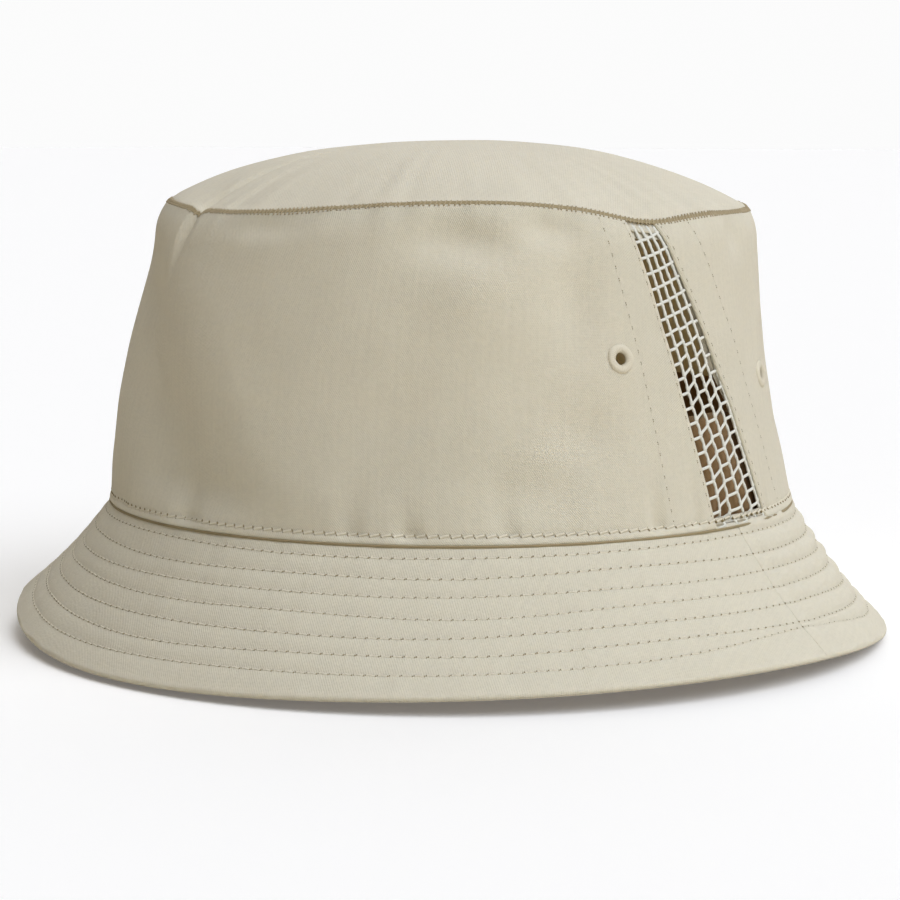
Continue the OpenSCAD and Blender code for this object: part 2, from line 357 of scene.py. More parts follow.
# ---------------------------------------------------------------------------
# Mesh makers
# ---------------------------------------------------------------------------
def new_piece(name, verts, faces, uv=None, material=None):
    mesh = bpy.data.meshes.new(name)
    mesh.from_pydata((verts * MM).tolist(), [], faces)
    if uv is not None:
        layer = mesh.uv_layers.new(name="cloth")
        loops = np.zeros(len(mesh.loops), np.int32)
        mesh.loops.foreach_get("vertex_index", loops)
        layer.data.foreach_set("uv", uv[loops].astype(np.float32).ravel())
    mesh.polygons.foreach_set("use_smooth", [True] * len(mesh.polygons))
    mesh.update()
    obj = bpy.data.objects.new(name, mesh)
    bpy.context.scene.collection.objects.link(obj)
    if material:
        mesh.materials.append(material)
    return obj


def grid_normals(p, closed):
    du = (np.roll(p, -1, 0) - np.roll(p, 1, 0)) if closed else np.gradient(p, axis=0)
    return unit(np.cross(du, np.gradient(p, axis=1)))


def cloth(name, p, thickness, material, uv, closed=False, hole=None):
    """A closed piece of cloth whose outer face is the grid p and which has a thickness."""
    nu, nv = p.shape[:2]
    inner = p - grid_normals(p, closed) * thickness
    verts = np.concatenate([p.reshape(-1, 3), inner.reshape(-1, 3)])
    both_uv = np.concatenate([uv.reshape(-1, 2), uv.reshape(-1, 2)])
    index = np.arange(nu * nv).reshape(nu, nv)
    ahead = np.roll(index, -1, 0) if closed else index[1:]
    index_u = index if closed else index[:-1]
    quads = np.stack([index_u[:, :-1], ahead[:, :-1], ahead[:, 1:], index_u[:, 1:]], axis=-1)
    keep = np.ones(quads.shape[:2], bool)
    if hole is not None:
        keep = ~hole(p.reshape(-1, 3)[quads].mean(axis=2))
    faces = quads[keep]
    edges = np.concatenate([faces[:, [i, (i + 1) % 4]] for i in range(4)])
    have = set(map(tuple, edges.tolist()))
    border = np.array([e for e in edges.tolist() if (e[1], e[0]) not in have])
    shift = nu * nv
    sides = np.stack([border[:, 1], border[:, 0], border[:, 0] + shift, border[:, 1] + shift], axis=-1)
    every = np.concatenate([faces, faces[:, ::-1] + shift, sides])
    used, flat = np.unique(every, return_inverse=True)
    return new_piece(name, verts[used], flat.reshape(every.shape).tolist(), both_uv[used], material)


def folded(count, radius, end_radius=None, turns=5):
    """Samples across a piece whose two edges roll under: share, offset in mm and depth in mm."""
    last = radius if end_radius is None else end_radius
    angle = np.linspace(PI / 2, 0, turns)[:-1]
    middle = np.linspace(0, 1, count)
    share = np.concatenate([0 * angle, middle, 0 * angle + 1])
    offset = np.concatenate([
        radius * (1 - np.sin(angle)),
        radius * (1 - middle) - last * middle,
        -last * (1 - np.sin(angle[::-1])),
    ])
    sink = 1 - np.cos(angle)
    depth = np.concatenate([radius * sink, 0 * middle, last * sink[::-1]])
    return share, offset, depth


def tubes(name, paths, normals, radii, material, sides=6, flat=1.0):
    """Many threads of the same number of points: paths and normals are (count, points, 3)."""
    along = unit(np.gradient(paths, axis=1))
    side = unit(np.cross(along, normals))
    up = np.cross(side, along)
    angle = np.arange(sides) * 2 * PI / sides
    r = np.broadcast_to(radii, paths.shape[:2])[..., None, None]
    ring = side[:, :, None] * np.cos(angle)[:, None] + up[:, :, None] * np.sin(angle)[:, None] * flat
    verts = paths[:, :, None] + ring * r
    count, points = paths.shape[:2]
    index = np.arange(count * points * sides).reshape(count, points, sides)
    after = np.roll(index, -1, 2)
    quads = np.stack([index[:, :-1], index[:, 1:], after[:, 1:], after[:, :-1]], axis=-1).reshape(-1, 4)
    ends = index[:, 0].tolist() + index[:, -1, ::-1].tolist()
    v = np.linspace(0, 1, points)[None, :, None]
    u = (np.arange(sides) / sides)[None, None, :]
    uv = stack(u + 0 * v + np.zeros((count, 1, 1)), v + 0 * u + np.zeros((count, 1, 1)))
    return new_piece(name, verts.reshape(-1, 3), quads.tolist() + ends, uv.reshape(-1, 2), material)


def thread_piece(name, rows, radii, material, slot, node, **shape):
    """One piece for many threads: rows holds pairs of paths and normals."""
    paths, normals = (np.concatenate(part) for part in zip(*rows))
    settle(tubes(name, paths, normals, radii, material, **shape), slot, node)


# Shape of one stitch from hole to hole: share of its length, and thickness at each place
STITCH_SHARES = np.array([0.0, 0.08, 0.17, 0.25, 0.37, 0.5, 0.63, 0.75, 0.83, 0.92, 1.0])
STITCH_WIDTHS = np.array([0.5, 1.0, 1.0, 0.75, 0.8, 0.85, 0.8, 0.75, 1.0, 1.0, 0.5])


def stitches(surface, t, s, outwards=1, lean=0.0, lift=0.05, sink=0.14):
    """Threads of a stitch row whose needle holes are at the (t, s) points, on a surface."""
    share = STITCH_SHARES
    tt = t[:-1, None] + (t[1:] - t[:-1])[:, None] * share
    ss = s[:-1, None] + (s[1:] - s[:-1])[:, None] * share
    p, n, _, dv = face_of(surface, tt, ss)
    n = n * outwards
    rise = lift * np.sin(PI * share) ** 0.5 - sink
    return p + n * rise[:, None] + dv * (lean * (2 * share - 1))[:, None], n


# ---------------------------------------------------------------------------
# Materials. Colours are linear.
# ---------------------------------------------------------------------------
STONE = (0.700, 0.648, 0.520)
# Tan of the tip seam's threads, darkened with painted shade of the groove they lie in
GROOVE_THREAD_SHADE = (0.420, 0.345, 0.220)
SEAM_SHADE = (0.340, 0.275, 0.155)
# Painted shade of the needle holes, laid on the ends of the seam threads
NEEDLE_HOLE_SHADE = (0.250, 0.200, 0.100)
NET = (0.760, 0.760, 0.690)
BAND_BROWN = (0.255, 0.160, 0.075)


class Nodes:
    """A short way to write a material's nodes."""

    def __init__(self, name):
        self.material = bpy.data.materials.new(name)
        self.material.use_nodes = True
        self.tree = self.material.node_tree
        self.shader = self.tree.nodes["Principled BSDF"]

    def add(self, kind, **settings):
        node = self.tree.nodes.new("ShaderNode" + kind)
        for key, value in settings.items():
            setattr(node, key, value)
        return node

    def put(self, value, socket):
        if isinstance(value, bpy.types.NodeSocket):
            self.tree.links.new(value, socket)
        else:
            socket.default_value = value

    def math(self, operation, a, b=0.0):
        node = self.add("Math", operation=operation)
        self.put(a, node.inputs[0])
        self.put(b, node.inputs[1])
        return node.outputs[0]

    def lines(self, uv, angle, pitch):
        """A sine from -1 to 1 across lines at an angle, a pitch apart."""
        node = self.add("VectorMath", operation="DOT_PRODUCT")
        self.put(uv, node.inputs[0])
        turn = 2 * PI / pitch
        node.inputs[1].default_value = (turn * math.cos(angle), turn * math.sin(angle), 0)
        return self.math("SINE", node.outputs["Value"])

    def scaled(self, vector, scale):
        node = self.add("VectorMath", operation="MULTIPLY")
        self.put(vector, node.inputs[0])
        node.inputs[1].default_value = scale
        return node.outputs["Vector"]

    def noise(self, vector, scale, detail=3.0):
        node = self.add("TexNoise")
        self.put(vector, node.inputs["Vector"])
        node.inputs["Scale"].default_value = scale
        node.inputs["Detail"].default_value = detail
        return node.outputs["Fac"]

    def mix(self, factor, a, b):
        node = self.add("Mix", data_type="RGBA")
        self.put(factor, node.inputs["Factor"])
        self.put(a, node.inputs["A"])
        self.put(b, node.inputs["B"])
        return node.outputs["Result"]

    def bump(self, height, strength, distance):
        node = self.add("Bump")
        node.inputs["Strength"].default_value = strength
        node.inputs["Distance"].default_value = distance
        self.put(height, node.inputs["Height"])
        self.put(node.outputs["Normal"], self.shader.inputs["Normal"])

    def finish(self, colour, roughness, sheen=0.0):
        self.put(colour, self.shader.inputs["Base Color"])
        self.shader.inputs["Roughness"].default_value = roughness
        self.shader.inputs["Specular IOR Level"].default_value = 0.25
        self.shader.inputs["Sheen Weight"].default_value = sheen
        self.shader.inputs["Sheen Roughness"].default_value = 0.5
        return self.material

    def let_light_through(self, share, reach):
        """A little light passes through the cloth, warmer than it went in."""
        self.shader.inputs["Subsurface Weight"].default_value = share
        self.shader.inputs["Subsurface Radius"].default_value = (1.0, 0.85, 0.65)
        self.shader.inputs["Subsurface Scale"].default_value = reach


def rgba(colour, gain=1.0):
    return (*(min(1.0, c * gain) for c in colour), 1.0)


def twill(name, colour, pitch=0.45, angle=math.radians(35), reach=0.0018):
    """Cotton twill: fine diagonal ribs, uneven yarns, long slubs and a faint cloudiness of tone."""
    n = Nodes(name)
    uv = n.add("UVMap", uv_map="cloth").outputs["UV"]
    place = n.add("TexCoord").outputs["Object"]
    rib = n.lines(uv, angle, pitch)
    weft = n.lines(uv, angle + PI / 2.6, pitch * 0.8)
    slubs = n.noise(n.scaled(uv, (1.1, 0.05, 1.0)), 1.0, 3.0)
    yarn = n.noise(uv, 1.6, 4.0)
    fleck = n.noise(uv, 0.9, 3.0)
    cloud = n.noise(place, 28.0, 3.0)
    tone = n.math("ADD", n.math("MULTIPLY", rib, 0.12), n.math("MULTIPLY", fleck, 0.75))
    tone = n.math("ADD", tone, n.math("MULTIPLY", slubs, 0.5))
    tone = n.math("ADD", tone, n.math("MULTIPLY", cloud, 0.35))
    pale = n.mix(tone, rgba(colour, 0.84), rgba(colour, 1.02))
    height = n.math("ADD", n.math("MULTIPLY", rib, 0.4), n.math("MULTIPLY", weft, 0.2))
    height = n.math("ADD", height, n.math("MULTIPLY", yarn, 1.8))
    height = n.math("ADD", height, n.math("MULTIPLY", slubs, 1.2))
    n.bump(height, 0.6, 0.0001)
    n.let_light_through(0.35, reach)
    return n.finish(pale, 0.9, 0.06)


def thread(name, colour, hole):
    """Twisted sewing thread whose ends carry painted shade, darkening towards the hole colour for the
    shadow in its needle holes.
    """
    n = Nodes(name)
    uv = n.add("UVMap", uv_map="cloth").outputs["UV"]
    split = n.add("SeparateXYZ")
    n.put(uv, split.inputs[0])
    along = split.outputs["Y"]
    # Painted shade: the last part of each stitch at both ends shades towards the hole colour
    middle = n.math("MULTIPLY", n.math("ABSOLUTE", n.math("SUBTRACT", along, 0.5)), 2.0)
    ends = n.add("MapRange", interpolation_type="SMOOTHSTEP")
    n.put(middle, ends.inputs["Value"])
    ends.inputs["From Min"].default_value = 0.62
    ends.inputs["From Max"].default_value = 0.80
    twist = n.lines(uv, math.radians(60), 0.5)
    n.bump(twist, 0.4, 0.00008)
    return n.finish(n.mix(ends.outputs["Result"], rgba(colour), rgba(hole)), 0.7, 0.1)


def knitted(name, colour):
    """Matt knitting yarn of the vent's net."""
    n = Nodes(name)
    place = n.add("TexCoord").outputs["Object"]
    fibre = n.noise(place, 2600.0, 3.0)
    tone = n.noise(place, 420.0, 2.0)
    n.bump(fibre, 0.5, 0.0001)
    return n.finish(n.mix(tone, rgba(colour, 0.9), rgba(colour, 1.06)), 0.8, 0.2)


def plain_weave(name, colour):
    """Small over-and-under weave of tapes, interlining and labels."""
    n = Nodes(name)
    uv = n.add("UVMap", uv_map="cloth").outputs["UV"]
    over = n.math("MULTIPLY", n.lines(uv, 0.0, 0.7), n.lines(uv, PI / 2, 0.7))
    fleck = n.noise(uv, 2.0, 3.0)
    n.bump(n.math("ADD", over, fleck), 0.3, 0.0001)
    return n.finish(n.mix(fleck, rgba(colour, 0.92), rgba(colour, 1.06)), 0.85, 0.1)


# ---------------------------------------------------------------------------
# Camera, lights and floor
# ---------------------------------------------------------------------------
def make_camera():
    """The photograph's view: a little above the tip seam, looking slightly down."""
    azimuth, distance, pitch = math.radians(39.0), 718 * MM, math.radians(7.0)
    height = (BASE_Z + 100.6) * MM
    camera = bpy.data.cameras.new("camera")
    camera.lens = 102.8
    camera.sensor_width = 36
    camera.clip_start = 0.01
    obj = bpy.data.objects.new("camera", camera)
    obj.location = (distance * math.sin(azimuth), -distance * math.cos(azimuth), height)
    obj.rotation_euler = (PI / 2 - pitch, 0, azimuth)
    bpy.context.scene.collection.objects.link(obj)
    bpy.context.scene.camera = obj


def soft_sun(name, azimuth, height, power, colour, spread):
    """Even light from far away: azimuth is from the front middle towards the wearer's left."""
    light = bpy.data.lights.new(name, "SUN")
    light.energy = power
    light.color = colour
    light.angle = math.radians(spread)
    obj = bpy.data.objects.new(name, light)
    obj.rotation_euler = (PI / 2 - math.radians(height), 0, math.radians(azimuth))
    bpy.context.scene.collection.objects.link(obj)


def seen_or_lighting(tree, lighting, seen, output):
    """One look for the camera and another as a source of light."""
    ray = tree.nodes.new("ShaderNodeLightPath")
    mix = tree.nodes.new("ShaderNodeMixShader")
    tree.links.new(ray.outputs["Is Camera Ray"], mix.inputs["Fac"])
    tree.links.new(lighting, mix.inputs[1])
    tree.links.new(seen, mix.inputs[2])
    tree.links.new(mix.outputs["Shader"], output.inputs["Surface"])


def make_world():
    """White all round where it is seen, and almost no light of its own."""
    world = bpy.data.worlds.new("studio")
    world.use_nodes = True
    tree = world.node_tree
    fill = tree.nodes["Background"]
    fill.inputs["Strength"].default_value = 0.03
    seen = tree.nodes.new("ShaderNodeBackground")
    seen.inputs["Color"].default_value = (1, 1, 1, 1)
    seen.inputs["Strength"].default_value = 0.97
    seen_or_lighting(tree, fill.outputs[0], seen.outputs[0], tree.nodes["World Output"])
    bpy.context.scene.world = world


def make_floor():
    """A pale floor, a little brighter to look at than the light it throws up."""
    half_side = 20000.0
    verts = np.array([(-1, -1, 0), (1, -1, 0), (1, 1, 0), (-1, 1, 0)]) * half_side
    n = Nodes("floor")
    n.finish(rgba((0.93, 0.93, 0.93)), 0.9)
    glow = n.add("Emission")
    glow.inputs["Strength"].default_value = 0.12
    both = n.add("AddShader")
    n.tree.links.new(n.shader.outputs[0], both.inputs[0])
    n.tree.links.new(glow.outputs[0], both.inputs[1])
    warm = n.add("BsdfDiffuse")
    warm.inputs["Color"].default_value = (0.84, 0.78, 0.66, 1)
    seen_or_lighting(n.tree, warm.outputs[0], both.outputs[0], n.tree.nodes["Material Output"])
    new_piece("floor", verts, [(0, 1, 2, 3)], None, n.material)


def make_glow_inside():
    """A faint warm light in the crown, for the daylight that real cloth lets through."""
    light = bpy.data.lights.new("inside", "POINT")
    light.energy = 0.014
    light.color = (1.0, 0.74, 0.46)
    light.shadow_soft_size = 0.03
    obj = bpy.data.objects.new("inside", light)
    obj.location = (0, 0, (BASE_Z + 45) * MM)
    bpy.context.scene.collection.objects.link(obj)


def make_studio():
    bpy.context.scene.view_settings.view_transform = "Standard"
    soft_sun("key", 88, 50, 2.4, (0.985, 1.01, 1.07), 55)
    soft_sun("front", 45, 15, 0.36, (1.0, 0.98, 0.94), 50)
    soft_sun("top", 0, 90, 0.35, (1.0, 1.0, 0.98), 50)
    soft_sun("back", -150, 35, 0.8, (1.0, 0.98, 0.94), 60)
    soft_sun("side", -90, 50, 0.26, (1.0, 0.82, 0.60), 50)
    make_world()
    make_floor()
    make_glow_inside()


# ---------------------------------------------------------------------------
# The crown
# ---------------------------------------------------------------------------
def settle(piece, slot, *nodes, body="hat"):
    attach(piece, body)
    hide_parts(*nodes)


def eyelet_spots(half, sides=(1, -1)):
    angle, s = EYELETS[half]
    return [(side * math.radians(angle), s) for side in sides]


def eyelet_holes(half):
    spots = [face_of(wall, np.array(t), np.array(s))[0] for t, s in eyelet_spots(half)]

    def hole(middles):
        near = [np.linalg.norm(middles - spot, axis=-1) < EYELET_HOLE_R for spot in spots]
        return near[0] | near[1]

    return hole


def wall_grid(edge0, edge1, count, rows, roll=0.7):
    """Grid of the wall between two edges that are functions of s, all four edges rolled under."""
    share_u, off_u, deep_u = folded(count, roll)
    share_v, off_v, deep_v = folded(rows, 0.75, 0.5)
    s = (share_v + off_v / WALL_H)[None, :]
    a, b = edge0(s), edge1(s)
    t = a + (b - a) * share_u[:, None] + off_u[:, None] / wall_radius(s)
    s = s + 0 * t
    depth = deep_u[:, None] + deep_v[None, :]
    uv = stack(t * BASE_R * ARC_SHARE, s * WALL_H)
    return t, s, depth, uv


def make_panels(material):
    for half in ("front", "back"):
        if half == "front":
            t, s, depth, uv = wall_grid(lambda s: -vent_front(s), vent_front, 330, 96)
        else:
            t, s, depth, uv = wall_grid(vent_back, lambda s: 2 * PI - vent_back(s), 380, 96)
        p = wall(t, s, depth)
        name = half + "_panel"
        piece = cloth(name + "_cloth", p, CLOTH_T, material, uv, hole=eyelet_holes(half))
        settle(piece, "stone_twill", name)


def disc_grid(half_count):
    """A square grid mapped to a disc: its angles, and how far out each point is, from 0 to 1."""
    line = np.linspace(-1, 1, 2 * half_count + 1)
    a, b = np.meshgrid(line, line, indexing="ij")
    wide = np.abs(a) > np.abs(b)
    far = np.where(wide, a, b)
    ratio = np.where(wide, b, a) / np.where(far == 0, 1, far)
    turn = np.where(wide, ratio * PI / 4, PI / 2 - ratio * PI / 4)
    x, y = np.abs(far) * np.sign(far) * np.cos(turn), np.abs(far) * np.sign(far) * np.sin(turn)
    return np.arctan2(x, -y), np.abs(far)


def make_tip(material):
    """The tip, which rolls over at its seam and runs down behind the wall."""
    half_count, tuck_rings, roll_rings, roll = 104, 4, 5, 0.5
    t, out = disc_grid(half_count)
    ring = out * half_count
    dome_rings = half_count - roll_rings - tuck_rings
    turn = np.clip((ring - dome_rings) / roll_rings, 0, 1) * PI / 2
    inwards = TUCK_DEPTH + roll * (1 - np.sin(turn))
    k = np.where(ring < dome_rings, ring / dome_rings * (1 - inwards / DOME_R), 1 - inwards / DOME_R)
    p = dome(t, k)
    p[..., 2] -= roll * (1 - np.cos(turn))
    below = np.clip((ring - dome_rings - roll_rings) / tuck_rings, 0, 1) * TIP_TUCK
    tuck = wall(t, 1 - (0.2 + below) / WALL_H, TUCK_DEPTH)
    p = np.where((below > 0)[..., None], tuck, p)
    piece = cloth("crown_tip_cloth", p, CLOTH_T, material, p[..., :2] * (1 + 0.02 * below[..., None]))
    settle(piece, "stone_twill", "crown_tip")


# ---------------------------------------------------------------------------
# The brim
# ---------------------------------------------------------------------------
def half_edges(half):
    return (-PI / 2, PI / 2) if half == "front" else (PI / 2, 3 * PI / 2)


def cone_uv(t, s):
    """The brim laid flat: its angle shrinks by the slope of the cone."""
    flat_r = 110 + s * BRIM_L
    return stack(flat_r * np.sin(t * 0.62), -flat_r * np.cos(t * 0.62))


def brim_grid(half, count=420):
    start, end = half_edges(half)
    share, off, deep = folded(count, 0.35)
    rows = []
    edges = [0.0, *BRIM_ROWS, 1.0]
    for low, high in zip(edges[:-1], edges[1:]):
        x = np.linspace(0, 1, 10, endpoint=False)
        rows.append(low + (high - low) * (x - 0.09 * np.sin(2 * PI * x)))
    s = np.concatenate([*rows, [1.0]])[None, :]
    t = start + (end - start) * share[:, None] + off[:, None] / BRIM_MID_R
    return t + 0 * s, s + 0 * t, deep[:, None] + 0 * s


def brim_layer(half, side, material, name):
    """One face of the brim, tucked up inside the wall and rounded over at the rim."""
    t, s, deep = brim_grid(half)
    p, n, _, dv = face_of(brim_middle, t, s)
    n = -n * side
    face = p + n * (BRIM_HALF_T + brim_relief(t, s) - deep)[..., None]
    turn = np.linspace(0, PI / 2, 7)[1:]
    rim_t, rim_p, rim_n, rim_v = t[:, -1:], p[:, -1:], n[:, -1:], dv[:, -1:]
    lift = BRIM_HALF_T - deep[:, -1:]
    rim = rim_p + rim_n * (lift * np.cos(turn))[..., None]
    rim = rim + rim_v * (BRIM_HALF_T * np.sin(turn))[..., None]
    height = np.linspace(BASE_TUCK, 1.2, 4)
    tuck_t = t[:, :1] + 0 * height
    tuck = wall(tuck_t, height / WALL_H + 0 * tuck_t, TUCK_DEPTH + (1 - side) * 0.7 + deep[:, :1])
    face = np.concatenate([tuck, face[:, 1:], rim], axis=1)
    t = np.concatenate([tuck_t, t[:, 1:], rim_t + 0 * turn], axis=1)
    above, below = -height / BRIM_L + 0 * tuck_t, 1 + 0.02 * turn + 0 * rim_t
    s = np.concatenate([above, s[:, 1:], below], axis=1)
    uv = cone_uv(t, s)
    if side > 0:
        face, uv = face[:, ::-1], uv[:, ::-1]
    return cloth(name, face, CLOTH_T * 0.9, material, uv)


def make_brim(material, lining):
    for half in ("front", "back"):
        top = brim_layer(half, 1, material, f"brim_top_{half}_cloth")
        settle(top, "stone_twill", f"brim_top_{half}")
        under = brim_layer(half, -1, material, f"brim_under_{half}_cloth")
        settle(under, "stone_twill", f"brim_under_{half}")
        start, end = half_edges(half)
        t = np.linspace(start + 0.02, end - 0.02, 180)[:, None]
        s = np.linspace(0.95, 0.0, 24)[None, :]
        t, s = t + 0 * s, s + 0 * t
        p, n, _, _ = face_of(brim_middle, t, s)
        middle = cloth(f"brim_interlining_{half}_cloth", p - n * 0.15, 0.3, lining, cone_uv(t, s))
        settle(middle, "interlining", f"brim_interlining_{half}")


# ---------------------------------------------------------------------------
# Stitching
# ---------------------------------------------------------------------------
def make_brim_stitching(material):
    for half in ("front", "back"):
        start, end = half_edges(half)
        rows = []
        for k in range(len(BRIM_ROWS)):
            t = np.linspace(start, end, stitches_in(k) + 1)
            for surface, outwards in ((brim_top, -1), (brim_under, 1)):
                rows.append(stitches(surface, t, row_share(k, t), outwards, lean=0.12))
        name, radii = f"brim_stitching_{half}", BRIM_THREAD * STITCH_WIDTHS
        thread_piece(name + "_thread", rows, radii, material, "sewing_thread", name, sides=5)


def make_base_stitching(material):
    t = np.linspace(0, 2 * PI, int(2 * PI * BASE_R / STITCH) + 1)
    row = stitches(wall, t, 0 * t + HEM_ROW / WALL_H, lean=0.38, lift=0.22, sink=0.1)
    name, radii = "crown_base_stitching", BASE_THREAD * STITCH_WIDTHS
    thread_piece(name + "_thread", [row], radii, material, "sewing_thread", name)


def make_base_painted_shade(shade):
    """A thin closed ring of painted shade under the wall's hem and its stitch row, for the shadow line
    below the hem.
    """
    turn = np.linspace(0, 2 * PI, 900, endpoint=False)[:, None]
    side = np.linspace(0, 2 * PI, 8, endpoint=False)[None, :]
    flat = 0 * side + 0 * turn
    middle, n, _, _ = face_of(wall, turn + 0 * side, flat)
    rise = stack(flat, flat, 0.27 * np.sin(side) - 0.04 + 0 * turn)
    p = middle + n * (0.30 * np.cos(side) - 0.12)[..., None] + rise
    p = np.concatenate([p, p[:, :1]], axis=1)
    uv = stack(turn * BASE_R + 0 * p[..., 0], 0 * p[..., 0] + np.linspace(0, 2, 9)[None, :])
    # Painted shade: a dark ring kept with the base stitching, not a thread or an edge of cloth
    piece = cloth("crown_base_painted_shade_ring", p[:, ::-1], 0.1, shade, uv[:, ::-1], closed=True)
    settle(piece, "sewing_thread", "crown_base_stitching")


def seam_way(t):
    """The way out of the hat at the tip seam, between the wall's and the tip's own."""
    return unit(around(t, 1 + 0 * t)) * 0.8 + np.array([0, 0, 0.6])


def seam_point(t, e, depth=0.0):
    """A place beside the tip seam: e mm down the wall, or -e mm in from the tip's edge."""
    down = wall(t, 1 - np.clip(e, 0, None) / WALL_H)
    up = dome(t, 1 - np.clip(-e, 0, None) / DOME_R)
    return np.where((e > 0)[..., None], down, up) - seam_way(t) * np.asarray(depth)[..., None]


def make_tip_stitching(material):
    """Short threads that draw the tip and the wall together, over the ring of painted shade in the
    groove.
    """
    rng = np.random.default_rng(41)
    count = int(2 * PI * DOME_R / TIP_STITCH)
    t = np.linspace(0, 2 * PI, count, endpoint=False)
    t = t + rng.uniform(-0.2, 0.2, count) * TIP_STITCH / DOME_R
    share = np.linspace(0, 1, 7)[None, :]
    wide = 0.78 + 0.12 * np.sin(5 * t + 1) + 0.1 * np.sin(13 * t)
    e = wide[:, None] * (1 - 2 * share)
    tt = t[:, None] + (share - 0.5) * 0.55 / DOME_R
    p = seam_point(tt, e, -0.05 + 0.13 * np.sin(PI * share) + 0 * e)
    name = "crown_tip_stitching"
    thread_piece(name + "_thread", [(p, seam_way(tt))], TIP_THREAD, material, "sewing_thread", name)


def make_tip_painted_shade(shade):
    """A thin closed ring of painted shade in the groove of the tip seam."""
    t = np.linspace(0, 2 * PI, 900, endpoint=False)[:, None]
    share = np.linspace(0, 1, 7)[None, :]
    e = (0.5 * (1 - 2 * share)) + 0 * t
    p = seam_point(t + 0 * share, e, 0.12 + 0.2 * np.sin(PI * share) + 0 * e)
    uv = stack(t * DOME_R + 0 * share, e)
    # Painted shade: a dark ring kept with the tip seam's stitching, not a thread or an edge of cloth
    piece = cloth("crown_tip_painted_shade_ring", p[:, ::-1], 0.25, shade, uv[:, ::-1], closed=True)
    settle(piece, "sewing_thread", "crown_tip_stitching")


def vent_rows():
    """The stitch rows beside a left vent, as functions of s that give an angle."""
    return [
        lambda s: vent_front(s) - 1.3 / wall_radius(s),
        lambda s: vent_front(s) - np.radians(9.0 - 3.0 * s),
        lambda s: vent_back(s) + 1.3 / wall_radius(s),
        lambda s: vent_back(s) + np.radians(8.3 + 0 * s),
    ]


def make_vent_stitching(material):
    for side, label in ((1, "left"), (-1, "right")):
        s = np.linspace(0.045, 0.985, int(WALL_H / STITCH))
        rows = [stitches(wall, side * row(s), s, lift=0.02) for row in vent_rows()]
        name, radii = f"vent_stitching_{label}", VENT_THREAD * STITCH_WIDTHS
        thread_piece(name + "_thread", rows, radii, material, "sewing_thread", name)


# ---------------------------------------------------------------------------
# Vents and eyelets
# ---------------------------------------------------------------------------
NET_DEPTH = 0.9
NET_PITCH = 3.95
NET_STRANDS = 7


def strand_angle(k, s):
    """Angle of the net's lengthways strand k: about four columns at the top and five below."""
    columns = 4.1 + 0.9 * smooth((1 - s) / 0.8)
    share = (k - 0.15) / columns
    return vent_front(s) + (vent_back(s) - vent_front(s)) * share


def link_height(k, row):
    """Height in mm of the middle of a link: level rows above, staggered by half a cell below."""
    height = (row + 0.1) * NET_PITCH
    loose = smooth((0.72 - height / WALL_H) / 0.3)
    return height + 0.75 * k * (1 - loose) + (k % 2) * 0.5 * NET_PITCH * loose, loose


def link_climb(k, loose):
    """How far a link rises towards the back, in mm: every second column steepens below."""
    return 0.8 + loose * (2.1 if k % 2 else 0.1)


def net_place(t, s):
    return wall(t, s, NET_DEPTH)


def in_vent(t, s):
    return np.clip(t, vent_front(s) - 0.025, vent_back(s) + 0.025)


def one_thread(surface, t, s):
    """Path and normals of a single thread on a surface, as a row of one."""
    p, n, _, _ = face_of(surface, t, s)
    return p[None], n[None]


def make_net_strands(side, label, material):
    """Lengthways strands, pulled to and fro by the slanting links between them."""
    s = np.linspace(-0.005, 0.99, 190)
    rows = []
    for k in range(NET_STRANDS):
        sway = 0.06 + 0.1 * smooth((0.6 - s) / 0.3)
        sway = sway * np.sin(2 * PI * s * WALL_H / NET_PITCH + PI * k)
        t = in_vent(strand_angle(k, s) + sway / BASE_R, s)
        rows.append(one_thread(net_place, side * t, s))
    knots = 0.45 + 0.06 * np.cos(4 * PI * s * WALL_H / NET_PITCH)
    net_piece(label, "strands", rows, knots, material)


def make_net_links(side, label, material):
    """Short slanting links from each strand to the next."""
    rows = []
    share = np.linspace(0, 1, 7)
    for k in range(-1, NET_STRANDS - 1):
        for row in range(int(WALL_H / NET_PITCH)):
            middle, loose = link_height(k, row)
            s = (middle + link_climb(k, loose) * (share - 0.5)) / WALL_H
            t = strand_angle(k, s) + (strand_angle(k + 1, s) - strand_angle(k, s)) * smooth(share)
            outside = t[0] > vent_back(s[0]) + 0.02 or t[-1] < vent_front(s[-1]) - 0.02
            if outside or s.max() > 0.98:
                continue
            rows.append(one_thread(net_place, side * in_vent(t, s), s))
    net_piece(label, "links", rows, 0.40 + 0.16 * np.abs(2 * share - 1) ** 3, material)


def net_piece(label, part, rows, radii, material):
    name = f"vent_net_{label}"
    thread_piece(f"{name}_{part}", rows, radii, material, "vent_net", name, sides=8, flat=0.7)


def make_vent_tapes(side, label, material):
    tapes = {
        "front": (
            lambda s: vent_front(s) - np.radians(9.6 - 3.0 * s),
            lambda s: vent_front(s) - 0.3 / BASE_R,
        ),
        "back": (
            lambda s: vent_back(s) + (0.3 - 1.3 * bell(s - 0.52, 0.09)) / BASE_R,
            lambda s: vent_back(s) + np.radians(8.9 + 0 * s),
        ),
    }
    for half, (edge0, edge1) in tapes.items():
        share_u, off_u, deep_u = folded(14, 0.25)
        s = np.linspace(0.0, 0.955, 70)[None, :]
        a, b = (edge0(s), edge1(s)) if side > 0 else (-edge1(s), -edge0(s))
        t = a + (b - a) * share_u[:, None] + off_u[:, None] / BASE_R
        s = s + 0 * t
        depth = 1.45 + TAPE_T - deep_u[:, None] + 0 * s
        p = wall(t, s, depth)
        uv = stack(t * BASE_R, s * WALL_H)
        piece = cloth(f"vent_tape_{half}_{label}_cloth", p, -TAPE_T, material, uv)
        settle(piece, "inner_tape", f"vent_tape_{half}_{label}")


